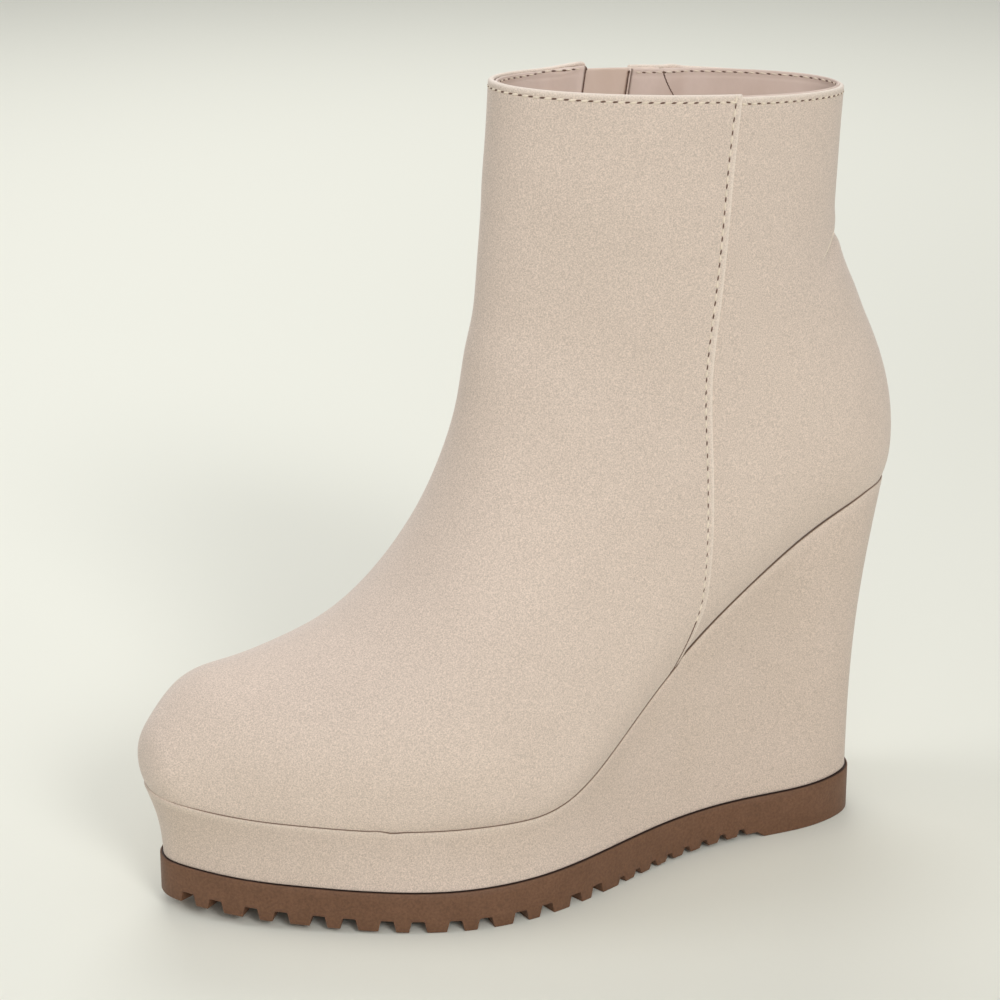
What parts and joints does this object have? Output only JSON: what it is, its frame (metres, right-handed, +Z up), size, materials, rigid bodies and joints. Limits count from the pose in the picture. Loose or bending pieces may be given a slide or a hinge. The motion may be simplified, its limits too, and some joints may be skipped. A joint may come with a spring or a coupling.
{
  "type": "platform wedge ankle boot",
  "caption": "Left high-heel ankle boot on a covered platform wedge, with an inner side zip and a lugged rubber outsole.",
  "frame": {"origin": "middle of the bounding box's bottom, on the floor the sole stands on", "axes": "+X from toe to heel, +Y towards the inner side of the left foot, +Z up"},
  "size_m": [0.2408, 0.091, 0.2323],
  "materials": {
    "rubber": "matt",
    "wedge_cover": "brushed, matt",
    "nubuck": "brushed, matt",
    "footbed": "matt",
    "zip_tape": "woven",
    "guard_leather": "smooth",
    "slider_metal": "satin"
  },
  "bodies": {
    "boot": {"outsole": "rubber", "platform_wedge": "wedge_cover", "upper": "nubuck", "insole": "footbed", "zip": "zip_tape", "zip_guard": "guard_leather", "zip_slider": "slider_metal"},
    "pull": {"zip_pull": "slider_metal"}
  },
  "joints": [
    {"name": "pull_tab_swing", "type": "hinge", "parent": "boot", "child": "pull", "pos_m": [0.03893, 0.03425, 0.21735], "axis": [1, 0, 0], "range_deg": [0, 160]}
  ]
}
